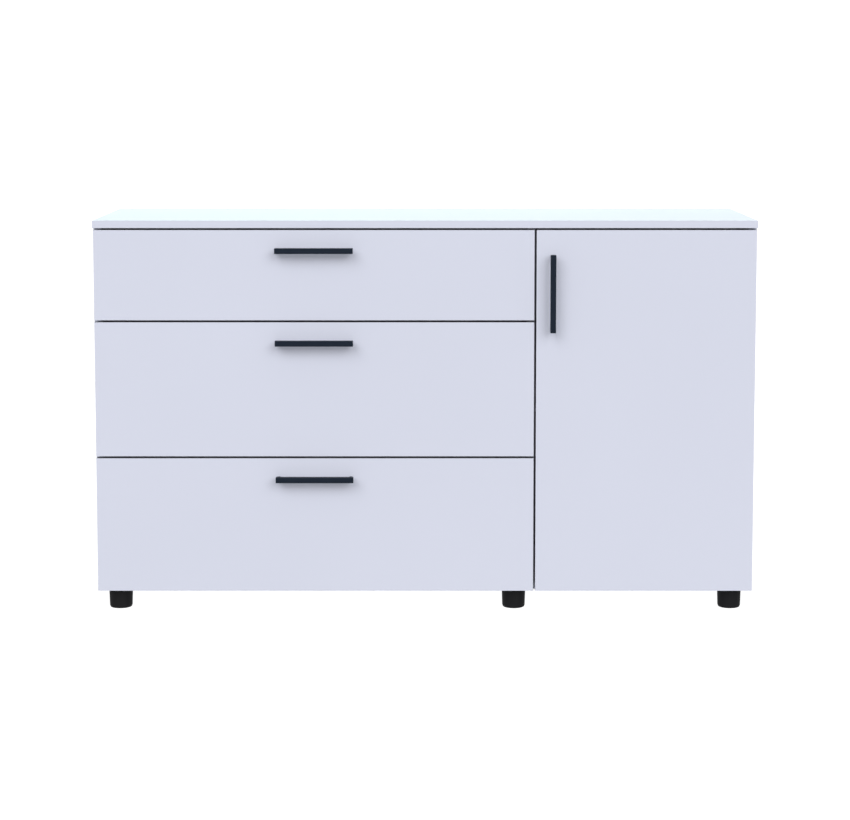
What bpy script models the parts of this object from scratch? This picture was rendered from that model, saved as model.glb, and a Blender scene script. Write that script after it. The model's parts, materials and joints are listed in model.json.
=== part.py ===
"""Sideboard buffet: three drawers on telescopic runners on the left, one hinged door on the right.

Metres. +X is the viewer's right, the fronts face -Y and +Z is up. The floor is at Z = 0, and the
middle of the whole object's box, handles included, is at X = Y = 0.
"""

import math

import bmesh
import bpy
from mathutils import Matrix, Vector

# Driving sizes of the whole piece.
WIDTH = 1.400
TOP_DEPTH = 0.420
BOARD = 0.016
FOOT_HEIGHT = 0.045
FRONTS_HEIGHT = 0.772
TOP_REVEAL = 0.004
FRONT_GAP = 0.004
FRONT_INSET = 0.002
FRONT_SETBACK = 0.002
CONTACT = 0.0003
THIN_BOARD = 0.003
GROOVE_DEPTH = 0.006

# Handles: a square bar on two slimmer legs, which stand a little in from its ends.
HANDLE_LENGTH = 0.1640
HANDLE_SECTION = 0.0115
HANDLE_BAR_DEPTH = 0.0140
HANDLE_REACH = 0.0300
HANDLE_LEG_WIDTH = 0.0070
HANDLE_LEG_INSET = 0.0020
HANDLE_EDGE_ROUND = 0.0008
HANDLE_DROP = 0.0425
DOOR_HANDLE_INSET = 0.0340
DOOR_HANDLE_DROP = 0.0510

# Planes of the carcass, worked out from the driving sizes.
DEPTH = TOP_DEPTH + HANDLE_REACH
BACK_Y = DEPTH / 2
FACE_Y = HANDLE_REACH - DEPTH / 2
FRONT_REAR_Y = FACE_Y + BOARD
CARCASS_Y = FRONT_REAR_Y + FRONT_SETBACK
OUTER_X = WIDTH / 2
INNER_X = OUTER_X - BOARD
FRONTS_TOP_Z = FOOT_HEIGHT + FRONTS_HEIGHT
TOP_UNDERSIDE_Z = FRONTS_TOP_Z + TOP_REVEAL
HEIGHT = TOP_UNDERSIDE_Z + BOARD
FLOOR_PANEL_TOP_Z = FOOT_HEIGHT + BOARD

# The divider stands to the right of the drawers.
DIVIDER_X = 0.225
DRAWER_BAY_RIGHT = DIVIDER_X - BOARD / 2
DOOR_BAY_LEFT = DIVIDER_X + BOARD / 2
FRONT_SPLIT_X = 0.233

# Thin back board, held in grooves.
BACK_BOARD_INSET = 0.012
BACK_BOARD_REAR_Y = BACK_Y - BACK_BOARD_INSET
BACK_BOARD_FRONT_Y = BACK_BOARD_REAR_Y - THIN_BOARD
BAY_REAR_Y = BACK_BOARD_FRONT_Y - CONTACT

# Feet.
FOOT_TOP_RADIUS = 0.0258
FOOT_BASE_RADIUS = 0.0243
FOOT_PAD_HEIGHT = 0.003
FOOT_PAD_RADIUS = 0.0233
FOOT_X = (-0.656, 0.191, 0.656)
FOOT_SETBACK = 0.050

# Shelf and the holes for its pins.
SHELF_Z = 0.425
SHELF_SIDE_GAP = 0.001
SHELF_SETBACK = 0.020
PIN_HOLE_RADIUS = 0.0025
PIN_HOLE_DEPTH = 0.009
PIN_HOLE_PITCH = 0.032
PIN_HOLE_ROWS = 7
PIN_HOLE_SIDES = 16
SYSTEM_SETBACK = 0.037

# Drawer fronts, from the top: a shallow one and two deep ones.
SHALLOW_FRONT = 0.191
DRAWER_NAMES = ("drawer_top", "drawer_middle", "drawer_bottom")
BOX_HEIGHTS = (0.110, 0.190, 0.190)
BOX_RISE = 0.031
BOX_BOARD = 0.012
BOX_LENGTH = 0.350
BOX_BOTTOM_RISE = 0.010
BOX_GROOVE_DEPTH = 0.005
RUNNER_SPACE = 0.013

# Telescopic runners: three nested channels of thin steel.
RUNNER_LENGTH = 0.350
RUNNER_RISE = 0.045
RUNNER_STEEL = 0.0012
RUNNER_MEMBERS = (
    # name, distance of the web from the cabinet's face, height, where its flanges end
    ("cabinet", 0.0003, 0.0450, 0.0103),
    ("middle", 0.0030, 0.0380, 0.0100),
    ("drawer", 0.0115, 0.0300, 0.0055),
)

# Concealed hinges. U runs outwards from the side panel's outer face and V forwards from its edge.
HINGE_HEIGHTS = (("lower", 0.145), ("upper", 0.717))
DOOR_AXIS_UV = (-0.006, 0.010)
CUP_CENTRE_U = -0.0225
CUP_RADIUS = 0.0173
CUP_WALL = 0.0009
CUP_DEPTH = 0.0125
CUP_BORE_RADIUS = 0.0177
CUP_BORE_DEPTH = 0.0130
CUP_FLANGE = (0.020, 0.062)
CUP_FLANGE_THICKNESS = 0.0010
ARM_PIN_UV = (-0.026, 0.009)
ARM_TIP_RADIUS = 0.0024
ARM_TIP_HALF_WIDTH = 0.0026
LINK_LENGTH = 0.0150
LINK_START_DEGREES = -21.3
LINK_CHEEK = 0.0012
LINK_ARM_RADIUS = 0.0026
LINK_CUP_RADIUS = 0.0018
PLATE_THICKNESS = 0.0020
PLATE_WING_HEIGHT = 0.048
PLATE_WING_WIDTH = 0.016
PLATE_SPINE_HALF_WIDTH = 0.006
PLATE_SPINE_RISE = 0.0060
PLATE_SHOULDER = 0.0010
PLATE_FRONT_SETBACK = 0.012
PLATE_LENGTH = 0.048
ARM_HALF_WIDTH = 0.0070
ARM_DEPTH = 0.0060
ARM_SHOULDER_V = -0.004
LINK_BAR_SHARE = 0.9
CUP_RIM_RADIUS = 0.0190

# How round stretches and softened edges are divided.
ROUND_SIDES = 48
ARC_STEPS = 12
BEVEL_SEGMENTS = 2
SHARP_DEGREES = 40
EMPTY_SIZE = 0.03

# Colour, roughness and metallic value of each material.
MATERIALS = {
    "white_board": ((0.690, 0.715, 0.810, 1.0), 0.38, 0.0),
    "hardboard": ((0.560, 0.570, 0.600, 1.0), 0.60, 0.0),
    "handle_black": ((0.016, 0.018, 0.024, 1.0), 0.45, 0.0),
    "foot_black": ((0.013, 0.013, 0.015, 1.0), 0.55, 0.0),
    "zinc": ((0.560, 0.570, 0.585, 1.0), 0.32, 1.0),
}


def clear_scene():
    """Start from an empty scene."""
    for old in list(bpy.data.objects):
        bpy.data.objects.remove(old, do_unlink=True)


def make_material(name, colour, roughness, metallic):
    """A plain Principled material."""
    material = bpy.data.materials.new(name)
    material.use_nodes = True
    shader = material.node_tree.nodes["Principled BSDF"]
    shader.inputs["Base Color"].default_value = colour
    shader.inputs["Roughness"].default_value = roughness
    shader.inputs["Metallic"].default_value = metallic
    material.diffuse_color = colour
    return material


def make_empty(name, place):
    """A pivot: its origin lies on a joint's axis."""
    empty = bpy.data.objects.new(name, None)
    empty.empty_display_size = EMPTY_SIZE
    empty.location = place
    bpy.context.scene.collection.objects.link(empty)
    return empty


def add_object(name, mesh_builder, material, pivot=None):
    """Turn world-space geometry into one object with its origin at its own middle."""
    points = [vertex.co for vertex in mesh_builder.verts]
    low = Vector([min(point[axis] for point in points) for axis in range(3)])
    high = Vector([max(point[axis] for point in points) for axis in range(3)])
    middle = (low + high) / 2
    bmesh.ops.translate(mesh_builder, verts=mesh_builder.verts, vec=-middle)
    bmesh.ops.recalc_face_normals(mesh_builder, faces=mesh_builder.faces)
    mesh = bpy.data.meshes.new(name)
    mesh_builder.to_mesh(mesh)
    mesh_builder.free()
    mesh.materials.append(material)
    piece = bpy.data.objects.new(name, mesh)
    bpy.context.scene.collection.objects.link(piece)
    piece.location = middle
    if pivot is not None:
        piece.parent = pivot
        piece.location = middle - pivot.location
    return piece


def add_box_shape(mesh_builder, low, high):
    """A box between two corners, added to the mesh builder."""
    corners = Vector(low), Vector(high)
    size = corners[1] - corners[0]
    matrix = Matrix.Translation((corners[0] + corners[1]) / 2) @ Matrix.Diagonal((*size, 1.0))
    bmesh.ops.create_cube(mesh_builder, size=1.0, matrix=matrix)


def box_shape(low, high):
    """A new mesh builder that holds one box."""
    builder = bmesh.new()
    add_box_shape(builder, low, high)
    return builder


def prism_shape(outline, axis, start, end):
    """Extrude an outline along X, Y or Z. The outline's points are in the two other axes, in order."""
    others = [index for index in range(3) if index != axis]
    builder = bmesh.new()
    ring = []
    for first, second in outline:
        point = [0.0, 0.0, 0.0]
        point[axis] = start
        point[others[0]] = first
        point[others[1]] = second
        ring.append(builder.verts.new(point))
    face = builder.faces.new(ring)
    extruded = bmesh.ops.extrude_face_region(builder, geom=[face])
    moved = [item for item in extruded["geom"] if isinstance(item, bmesh.types.BMVert)]
    step = Vector((0.0, 0.0, 0.0))
    step[axis] = end - start
    bmesh.ops.translate(builder, verts=moved, vec=step)
    return builder


def cone_shape(place, direction, start_radius, end_radius, length, sides=ROUND_SIDES):
    """A capped cone or cylinder that starts at a place and runs along a direction."""
    turn = Vector((0, 0, 1)).rotation_difference(Vector(direction)).to_matrix().to_4x4()
    matrix = Matrix.Translation(Vector(place)) @ turn @ Matrix.Translation((0, 0, length / 2))
    builder = bmesh.new()
    bmesh.ops.create_cone(
        builder, cap_ends=True, segments=sides, radius1=start_radius, radius2=end_radius, depth=length,
        matrix=matrix,
    )
    return builder


def arc(centre, radius, start_degrees, end_degrees, steps):
    """Points along a round stretch of an outline."""
    points = []
    for step in range(steps + 1):
        angle = math.radians(start_degrees + (end_degrees - start_degrees) * step / steps)
        points.append((centre[0] + radius * math.cos(angle), centre[1] + radius * math.sin(angle)))
    return points


def merge_builders(builders):
    """Put shapes that lie apart from each other into one mesh builder."""
    merged = bmesh.new()
    for builder in builders:
        bmesh.ops.recalc_face_normals(builder, faces=builder.faces)
        passing_mesh = bpy.data.meshes.new("passing")
        builder.to_mesh(passing_mesh)
        builder.free()
        merged.from_mesh(passing_mesh)
        bpy.data.meshes.remove(passing_mesh)
    return merged


def combine(piece, builder, operation):
    """Cut a shape out of a piece, or join it to the piece, and keep the result as its mesh."""
    helper_mesh = bpy.data.meshes.new("helper")
    bmesh.ops.recalc_face_normals(builder, faces=builder.faces)
    builder.to_mesh(helper_mesh)
    builder.free()
    helper = bpy.data.objects.new("helper", helper_mesh)
    bpy.context.scene.collection.objects.link(helper)
    modifier = piece.modifiers.new("combine", "BOOLEAN")
    modifier.operation = operation
    modifier.solver = "EXACT"
    modifier.object = helper
    bpy.context.view_layer.update()
    evaluated = piece.evaluated_get(bpy.context.evaluated_depsgraph_get())
    result = bpy.data.meshes.new_from_object(evaluated)
    piece.modifiers.remove(modifier)
    piece.data = result
    bpy.data.objects.remove(helper, do_unlink=True)


def round_edges(piece, width):
    """A live bevel that softens every sharp edge."""
    bevel = piece.modifiers.new("edges", "BEVEL")
    bevel.width = width
    bevel.segments = BEVEL_SEGMENTS
    bevel.limit_method = "ANGLE"
    bevel.angle_limit = math.radians(SHARP_DEGREES)


def build_carcass(white, hardboard):
    """The boards that stand still."""
    add_object(
        "top_panel",
        box_shape((-OUTER_X, FACE_Y, TOP_UNDERSIDE_Z), (OUTER_X, BACK_Y, HEIGHT)),
        white,
    )
    groove_front = BACK_BOARD_FRONT_Y - CONTACT
    groove_rear = BACK_BOARD_REAR_Y + CONTACT
    top_z = TOP_UNDERSIDE_Z - CONTACT
    for name, side in (("left_side_panel", -1), ("right_side_panel", 1)):
        groove_x = side * (INNER_X + GROOVE_DEPTH)
        outline = [
            (side * OUTER_X, CARCASS_Y),
            (side * OUTER_X, BACK_Y),
            (side * INNER_X, BACK_Y),
            (side * INNER_X, groove_rear),
            (groove_x, groove_rear),
            (groove_x, groove_front),
            (side * INNER_X, groove_front),
            (side * INNER_X, CARCASS_Y),
        ]
        panel = add_object(name, prism_shape(outline, 2, FOOT_HEIGHT, top_z), white)
        if side > 0:
            combine(panel, pin_holes(INNER_X, 1), "DIFFERENCE")
    floor_outline = [
        (CARCASS_Y, FOOT_HEIGHT),
        (BACK_Y, FOOT_HEIGHT),
        (BACK_Y, FLOOR_PANEL_TOP_Z),
        (groove_rear, FLOOR_PANEL_TOP_Z),
        (groove_rear, FLOOR_PANEL_TOP_Z - GROOVE_DEPTH),
        (groove_front, FLOOR_PANEL_TOP_Z - GROOVE_DEPTH),
        (groove_front, FLOOR_PANEL_TOP_Z),
        (CARCASS_Y, FLOOR_PANEL_TOP_Z),
    ]
    floor_reach = INNER_X - CONTACT
    add_object("bottom_panel", prism_shape(floor_outline, 0, -floor_reach, floor_reach), white)
    divider = add_object(
        "centre_divider",
        box_shape(
            (DRAWER_BAY_RIGHT, CARCASS_Y, FLOOR_PANEL_TOP_Z + CONTACT),
            (DOOR_BAY_LEFT, BAY_REAR_Y, top_z),
        ),
        white,
    )
    combine(divider, pin_holes(DOOR_BAY_LEFT, -1), "DIFFERENCE")
    back_reach = INNER_X + GROOVE_DEPTH - CONTACT
    add_object(
        "back_board",
        box_shape(
            (-back_reach, BACK_BOARD_FRONT_Y, FLOOR_PANEL_TOP_Z - GROOVE_DEPTH + CONTACT),
            (back_reach, BACK_BOARD_REAR_Y, top_z),
        ),
        hardboard,
    )
    add_object(
        "shelf",
        box_shape(
            (DOOR_BAY_LEFT + SHELF_SIDE_GAP, CARCASS_Y + SHELF_SETBACK, SHELF_Z),
            (INNER_X - SHELF_SIDE_GAP, BAY_REAR_Y - SHELF_SIDE_GAP, SHELF_Z + BOARD),
        ),
        white,
    )


def pin_holes(face_x, inwards):
    """Two columns of shelf-pin holes, bored into a face of the door bay."""
    lowest = SHELF_Z - PIN_HOLE_RADIUS - PIN_HOLE_PITCH * (PIN_HOLE_ROWS // 2)
    holes = []
    for y in (CARCASS_Y + SYSTEM_SETBACK, BAY_REAR_Y - SYSTEM_SETBACK):
        for row in range(PIN_HOLE_ROWS):
            start = (face_x - inwards * CONTACT, y, lowest + row * PIN_HOLE_PITCH)
            depth = PIN_HOLE_DEPTH + CONTACT
            radius = PIN_HOLE_RADIUS
            holes.append(cone_shape(start, (inwards, 0, 0), radius, radius, depth, PIN_HOLE_SIDES))
    return merge_builders(holes)


def build_feet(black):
    """Six round tapered feet, each with a low glide under it."""
    rows = (("front", FACE_Y + FOOT_SETBACK), ("rear", BACK_Y - FOOT_SETBACK))
    for row_name, y in rows:
        for column_name, x in zip(("left", "centre", "right"), FOOT_X):
            body_height = FOOT_HEIGHT - CONTACT - FOOT_PAD_HEIGHT
            foot = cone_shape(
                (x, y, FOOT_PAD_HEIGHT), (0, 0, 1), FOOT_BASE_RADIUS, FOOT_TOP_RADIUS, body_height
            )
            base = min(foot.faces, key=lambda face: face.calc_center_median().z)
            bmesh.ops.inset_region(foot, faces=[base], thickness=FOOT_BASE_RADIUS - FOOT_PAD_RADIUS)
            bmesh.ops.translate(foot, verts=base.verts, vec=(0, 0, -FOOT_PAD_HEIGHT))
            add_object(f"foot_{row_name}_{column_name}", foot, black)


def handle_box(centre, upright, along, half_width, nearest, farthest):
    """One box of a handle, given by its reach along the handle and its distances from the front."""
    low = [centre[0], FACE_Y - farthest, centre[1]]
    high = [centre[0], FACE_Y - nearest, centre[1]]
    length_axis, width_axis = (2, 0) if upright else (0, 2)
    low[length_axis] += along[0]
    high[length_axis] += along[1]
    low[width_axis] -= half_width
    high[width_axis] += half_width
    return box_shape(low, high)


def build_handle(name, centre, upright, black, pivot):
    """A handle on a front, level on the drawers and upright on the door."""
    half = HANDLE_LENGTH / 2
    bar_rear = HANDLE_REACH - HANDLE_BAR_DEPTH
    bar = handle_box(centre, upright, (-half, half), HANDLE_SECTION / 2, bar_rear, HANDLE_REACH)
    handle = add_object(name, bar, black, pivot)
    outer = half - HANDLE_LEG_INSET
    inner = outer - HANDLE_LEG_WIDTH
    leg_tip = bar_rear + HANDLE_BAR_DEPTH / 2
    legs = [
        handle_box(centre, upright, along, HANDLE_LEG_WIDTH / 2, CONTACT, leg_tip)
        for along in ((-outer, -inner), (inner, outer))
    ]
    combine(handle, merge_builders(legs), "UNION")
    round_edges(handle, HANDLE_EDGE_ROUND)


def drawer_fronts():
    """Bottom and top edge of each drawer front, from the top drawer down."""
    deep = (FRONTS_HEIGHT - SHALLOW_FRONT - 2 * FRONT_GAP) / 2
    top = FRONTS_TOP_Z
    edges = []
    for height in (SHALLOW_FRONT, deep, deep):
        edges.append((top - height, top))
        top -= height + FRONT_GAP
    return edges


def channel_outline(web_x, flange_x, thickness, height, centre_z):
    """A channel's outline in X and Z: an upright web with a flange at each end."""
    direction = 1 if flange_x > web_x else -1
    inner_x = web_x + direction * thickness
    half = height / 2
    points = [
        (web_x, -half),
        (flange_x, -half),
        (flange_x, -half + thickness),
        (inner_x, -half + thickness),
        (inner_x, half - thickness),
        (flange_x, half - thickness),
        (flange_x, half),
        (web_x, half),
    ]
    return [(x, centre_z + z) for x, z in points]


def build_runner(prefix, side_name, side, face_x, centre_z, middle_pivot, drawer_pivot, zinc):
    """One telescopic runner: a member on the cabinet, one on the drawer and one between them."""
    pivots = {"cabinet": None, "middle": middle_pivot, "drawer": drawer_pivot}
    start = CARCASS_Y + FRONT_SETBACK
    for member, web, height, flange in RUNNER_MEMBERS:
        web_x = face_x - side * web
        if member == "drawer":
            web_x -= side * RUNNER_STEEL
        flange_x = face_x - side * flange
        outline = channel_outline(web_x, flange_x, RUNNER_STEEL, height, centre_z)
        builder = prism_shape(outline, 1, start, start + RUNNER_LENGTH)
        add_object(f"{prefix}_runner_{side_name}_{member}", builder, zinc, pivots[member])


def build_drawer(name, front_edges, box_height, materials):
    """A drawer: its front and handle, its box and both of its runners."""
    white, hardboard, black, zinc = materials
    bottom_z, top_z = front_edges
    left_x = -OUTER_X + FRONT_INSET
    right_x = FRONT_SPLIT_X - FRONT_GAP / 2
    centre_x = (left_x + right_x) / 2
    drawer_pivot = make_empty(f"{name}_travel", (centre_x, FACE_Y, bottom_z))
    middle_pivot = make_empty(f"{name}_runner_travel", (centre_x, CARCASS_Y, bottom_z))
    front = box_shape((left_x, FACE_Y, bottom_z), (right_x, FRONT_REAR_Y, top_z))
    add_object(f"{name}_front", front, white, drawer_pivot)
    build_handle(f"{name}_handle", (centre_x, top_z - HANDLE_DROP), False, black, drawer_pivot)

    box_start = FRONT_REAR_Y + CONTACT
    box_end = FRONT_REAR_Y + BOX_LENGTH
    low = bottom_z + BOX_RISE
    high = low + box_height
    groove_low = low + BOX_BOTTOM_RISE
    groove_high = groove_low + THIN_BOARD + 2 * CONTACT
    box_outer = {-1: -INNER_X + RUNNER_SPACE, 1: DRAWER_BAY_RIGHT - RUNNER_SPACE}
    for side_name, side in (("left", -1), ("right", 1)):
        outer_x = box_outer[side]
        inner_x = outer_x - side * BOX_BOARD
        groove_x = inner_x + side * BOX_GROOVE_DEPTH
        outline = [
            (outer_x, low),
            (inner_x, low),
            (inner_x, groove_low),
            (groove_x, groove_low),
            (groove_x, groove_high),
            (inner_x, groove_high),
            (inner_x, high),
            (outer_x, high),
        ]
        board = prism_shape(outline, 1, box_start, box_end)
        add_object(f"{name}_box_{side_name}", board, white, drawer_pivot)
        face_x = -INNER_X if side < 0 else DRAWER_BAY_RIGHT
        runner_z = bottom_z + RUNNER_RISE + BOX_RISE
        build_runner(name, side_name, side, face_x, runner_z, middle_pivot, drawer_pivot, zinc)
    inside_left = box_outer[-1] + BOX_BOARD
    inside_right = box_outer[1] - BOX_BOARD
    rear_board = box_shape(
        (inside_left + CONTACT, box_end - BOX_BOARD, groove_high),
        (inside_right - CONTACT, box_end, high),
    )
    add_object(f"{name}_box_rear", rear_board, white, drawer_pivot)
    tongue = BOX_GROOVE_DEPTH - CONTACT
    bottom_board = box_shape(
        (inside_left - tongue, box_start, groove_low + CONTACT),
        (inside_right + tongue, box_end, groove_high - CONTACT),
    )
    add_object(f"{name}_box_bottom", bottom_board, hardboard, drawer_pivot)


def to_xy(outline):
    """Hinge outlines in U and V as world X and Y."""
    return [(OUTER_X + u, CARCASS_Y - v) for u, v in outline]


def build_hinge_plate(prefix, z, zinc):
    """The cross-shaped mounting plate on the side panel, with the spine that carries the arm."""
    high_x = INNER_X - CONTACT
    low_x = high_x - PLATE_THICKNESS
    half = PLATE_SPINE_HALF_WIDTH
    front_y = CARCASS_Y + PLATE_FRONT_SETBACK
    rear_y = front_y + PLATE_LENGTH
    wing_y = CARCASS_Y + SYSTEM_SETBACK
    base = box_shape((low_x, front_y, z - half), (high_x, rear_y, z + half))
    plate = add_object(f"{prefix}_plate", base, zinc)
    wings = box_shape(
        (low_x, wing_y - PLATE_WING_WIDTH / 2, z - PLATE_WING_HEIGHT / 2),
        (high_x, wing_y + PLATE_WING_WIDTH / 2, z + PLATE_WING_HEIGHT / 2),
    )
    shoulder = PLATE_SHOULDER
    spine = box_shape(
        (low_x - PLATE_SPINE_RISE, front_y + shoulder, z - half + shoulder),
        (high_x - PLATE_THICKNESS / 2, rear_y - shoulder, z + half - shoulder),
    )
    combine(plate, wings, "UNION")
    combine(plate, spine, "UNION")


def build_hinge_arm(prefix, z, zinc):
    """The cranked arm: wide on the plate's spine, narrow where it reaches into the cup."""
    spine_u = INNER_X - OUTER_X - 2 * CONTACT - PLATE_THICKNESS - PLATE_SPINE_RISE
    tail_v = -PLATE_FRONT_SETBACK - PLATE_LENGTH
    outer_u = spine_u - ARM_DEPTH
    body_outline = [
        (spine_u, tail_v),
        (spine_u, ARM_SHOULDER_V),
        (outer_u, ARM_SHOULDER_V),
        (outer_u, tail_v),
    ]
    body = prism_shape(to_xy(body_outline), 2, z - ARM_HALF_WIDTH, z + ARM_HALF_WIDTH)
    arm = add_object(f"{prefix}_arm", body, zinc)
    tip_arc = arc(ARM_PIN_UV, ARM_TIP_RADIUS, 0, 180, ARC_STEPS)
    overlap_v = ARM_SHOULDER_V - ARM_HALF_WIDTH
    tip_outline = [(spine_u - CONTACT, overlap_v)] + tip_arc + [(outer_u + CONTACT, overlap_v)]
    tip = prism_shape(to_xy(tip_outline), 2, z - ARM_TIP_HALF_WIDTH, z + ARM_TIP_HALF_WIDTH)
    combine(arm, tip, "UNION")


def build_hinge_link(prefix, z, zinc):
    """The forked link: a cheek on each side of the arm's tip, joined by a bar inside the cup."""
    turn = math.radians(LINK_START_DEGREES)
    cup_pin = (
        ARM_PIN_UV[0] + LINK_LENGTH * math.cos(turn),
        ARM_PIN_UV[1] + LINK_LENGTH * math.sin(turn),
    )
    pin_x, pin_y = to_xy([ARM_PIN_UV])[0]
    pivot = make_empty(f"{prefix}_link_turn", (pin_x, pin_y, z))
    outline = arc(ARM_PIN_UV, LINK_ARM_RADIUS, 90 + LINK_START_DEGREES, 270 + LINK_START_DEGREES, ARC_STEPS)
    outline += arc(cup_pin, LINK_CUP_RADIUS, LINK_START_DEGREES - 90, LINK_START_DEGREES + 90, ARC_STEPS)
    inner = ARM_TIP_HALF_WIDTH + CONTACT
    outer = inner + LINK_CHEEK
    lower = prism_shape(to_xy(outline), 2, z - outer, z - inner)
    upper = prism_shape(to_xy(outline), 2, z + inner, z + outer)
    bar_x, bar_y = to_xy([cup_pin])[0]
    bar_radius = LINK_CUP_RADIUS * LINK_BAR_SHARE
    bar_half = inner + LINK_CHEEK / 2
    bar_start = (bar_x, bar_y, z - bar_half)
    bar = cone_shape(bar_start, (0, 0, 1), bar_radius, bar_radius, 2 * bar_half, PIN_HOLE_SIDES)
    link = add_object(f"{prefix}_link", lower, zinc, pivot)
    combine(link, bar, "UNION")
    combine(link, upper, "UNION")


def build_hinge_cup(prefix, z, zinc, pivot):
    """The cup pressed into the door, with its flange on the door's rear face."""
    centre_x = OUTER_X + CUP_CENTRE_U
    flange_width, flange_height = CUP_FLANGE
    low_y = FRONT_REAR_Y + CONTACT
    flange = box_shape(
        (centre_x - flange_width / 2, low_y, z - flange_height / 2),
        (centre_x + flange_width / 2, low_y + CUP_FLANGE_THICKNESS, z + flange_height / 2),
    )
    cup = add_object(f"{prefix}_cup", flange, zinc, pivot)
    rim_y = low_y + CUP_FLANGE_THICKNESS
    rim = cone_shape(
        (centre_x, rim_y, z), (0, -1, 0), CUP_RIM_RADIUS, CUP_RIM_RADIUS, CUP_FLANGE_THICKNESS
    )
    floor_y = FRONT_REAR_Y - CUP_DEPTH
    shell_length = low_y + CUP_FLANGE_THICKNESS / 2 - floor_y
    shell = cone_shape((centre_x, floor_y, z), (0, 1, 0), CUP_RADIUS, CUP_RADIUS, shell_length)
    combine(cup, rim, "UNION")
    combine(cup, shell, "UNION")
    hollow_radius = CUP_RADIUS - CUP_WALL
    hollow_length = rim_y + CONTACT - floor_y - CUP_WALL
    hollow = cone_shape(
        (centre_x, floor_y + CUP_WALL, z), (0, 1, 0), hollow_radius, hollow_radius, hollow_length
    )
    combine(cup, hollow, "DIFFERENCE")


def build_door(white, black, zinc):
    """The door, its handle and its two concealed hinges."""
    left_x = FRONT_SPLIT_X + FRONT_GAP / 2
    right_x = OUTER_X - FRONT_INSET
    axis_x, axis_y = to_xy([DOOR_AXIS_UV])[0]
    pivot = make_empty("door_swing", (axis_x, axis_y, FOOT_HEIGHT))
    panel = add_object(
        "door_panel",
        box_shape((left_x, FACE_Y, FOOT_HEIGHT), (right_x, FRONT_REAR_Y, FRONTS_TOP_Z)),
        white,
        pivot,
    )
    bores = []
    for _, z in HINGE_HEIGHTS:
        start = (OUTER_X + CUP_CENTRE_U, FRONT_REAR_Y + CONTACT, z)
        depth = CUP_BORE_DEPTH + CONTACT
        bores.append(cone_shape(start, (0, -1, 0), CUP_BORE_RADIUS, CUP_BORE_RADIUS, depth))
    combine(panel, merge_builders(bores), "DIFFERENCE")
    handle_z = FRONTS_TOP_Z - DOOR_HANDLE_DROP - HANDLE_LENGTH / 2
    build_handle("door_handle", (left_x + DOOR_HANDLE_INSET, handle_z), True, black, pivot)
    for height_name, z in HINGE_HEIGHTS:
        prefix = f"hinge_{height_name}"
        build_hinge_plate(prefix, z, zinc)
        build_hinge_arm(prefix, z, zinc)
        build_hinge_link(prefix, z, zinc)
        build_hinge_cup(prefix, z, zinc, pivot)


def main():
    """Build the whole sideboard."""
    clear_scene()
    made = {name: make_material(name, *look) for name, look in MATERIALS.items()}
    build_carcass(made["white_board"], made["hardboard"])
    build_feet(made["foot_black"])
    drawer_materials = (made["white_board"], made["hardboard"], made["handle_black"], made["zinc"])
    for name, edges, box_height in zip(DRAWER_NAMES, drawer_fronts(), BOX_HEIGHTS):
        build_drawer(name, edges, box_height, drawer_materials)
    build_door(made["white_board"], made["handle_black"], made["zinc"])
    bpy.context.view_layer.update()


main()
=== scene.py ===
"""Sideboard buffet: finish, fittings, stage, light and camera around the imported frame."""

import json
import math

import bmesh
import bpy
from mathutils import Matrix, Vector


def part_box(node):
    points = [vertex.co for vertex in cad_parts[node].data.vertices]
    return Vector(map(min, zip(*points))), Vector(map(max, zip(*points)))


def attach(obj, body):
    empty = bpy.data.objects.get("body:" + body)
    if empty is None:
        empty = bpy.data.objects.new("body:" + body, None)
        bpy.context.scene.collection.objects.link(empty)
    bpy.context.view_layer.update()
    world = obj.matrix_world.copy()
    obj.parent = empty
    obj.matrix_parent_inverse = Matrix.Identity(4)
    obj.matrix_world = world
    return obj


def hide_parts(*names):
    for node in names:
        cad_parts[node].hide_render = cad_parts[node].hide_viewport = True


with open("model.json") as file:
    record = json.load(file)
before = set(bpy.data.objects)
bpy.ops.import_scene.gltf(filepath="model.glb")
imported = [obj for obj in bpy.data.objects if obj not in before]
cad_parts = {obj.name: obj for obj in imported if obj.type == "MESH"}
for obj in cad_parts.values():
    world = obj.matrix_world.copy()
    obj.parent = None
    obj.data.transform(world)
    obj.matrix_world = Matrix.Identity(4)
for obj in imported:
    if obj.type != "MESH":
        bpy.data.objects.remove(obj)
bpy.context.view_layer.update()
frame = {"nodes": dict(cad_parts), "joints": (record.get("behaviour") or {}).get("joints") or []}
NODES = frame["nodes"]
MM = 0.001

# Names and places that the finishes, the fittings, the lights and the camera are worked out from.
FACE_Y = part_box("drawer_top_front")[0].y
FRONT_REAR_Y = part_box("drawer_top_front")[1].y
CARCASS_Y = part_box("left_side_panel")[0].y
TOP_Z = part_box("top_panel")[1].z
DRAWERS = ("drawer_top", "drawer_middle", "drawer_bottom")
HINGES = ("hinge_lower", "hinge_upper")
FEET = [name for name in NODES if name.startswith("foot_")]

# Ways that a face of a board looks, each as an axis and a sign.
TO_LEFT = (0, -1.0)
TO_RIGHT = (0, 1.0)
FRONT = (1, -1.0)
REAR = (1, 1.0)
UNDER = (2, -1.0)
OVER = (2, 1.0)

# Ways that a fitting points.
LEFT = (-1, 0, 0)
RIGHT = (1, 0, 0)
BACK = (0, 1, 0)
DOWN = (0, 0, -1)
UP = (0, 0, 1)


# ---------------------------------------------------------------- materials

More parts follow.
